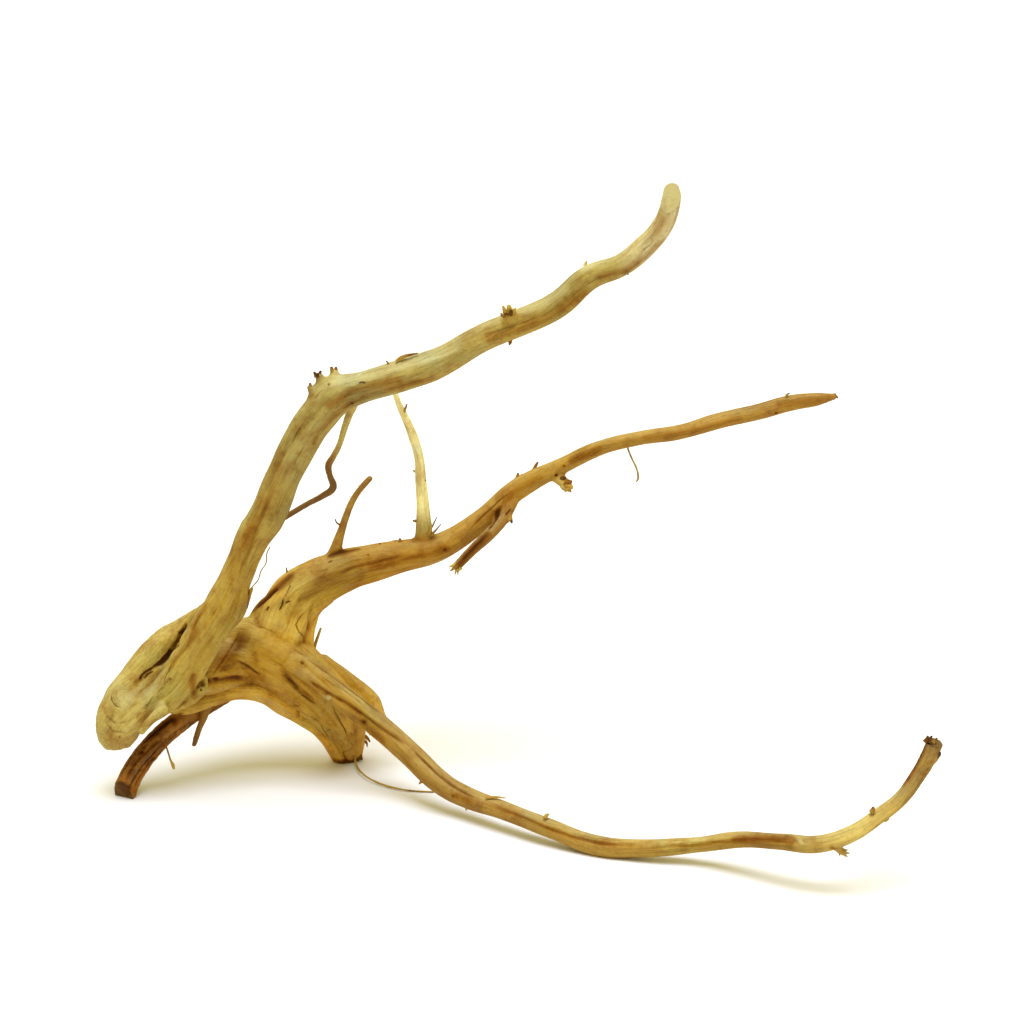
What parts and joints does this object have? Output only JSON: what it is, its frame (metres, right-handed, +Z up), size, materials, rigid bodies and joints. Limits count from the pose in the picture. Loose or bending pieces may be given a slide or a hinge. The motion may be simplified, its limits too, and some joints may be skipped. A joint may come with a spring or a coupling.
{
  "type": "desert driftwood",
  "caption": "Weathered root wood: a short arched trunk on three low points, with long crooked limbs, a rounded lobe, a bark-dark root and dead twigs",
  "frame": {"origin": "on the surface that it stands on, below the middle of its bounding box", "axes": "+X from the lobe towards the sawn tip of the lower limb, which is its longest side; +Y away from the front; +Z up"},
  "size_m": [0.4264, 0.2, 0.3321],
  "materials": {
    "driftwood": "bare weathered wood, sun bleached and barkless, pale olive tan to golden ochre, dry and matt"
  },
  "bodies": {
    "root": {"driftwood": "driftwood"}
  },
  "joints": []
}
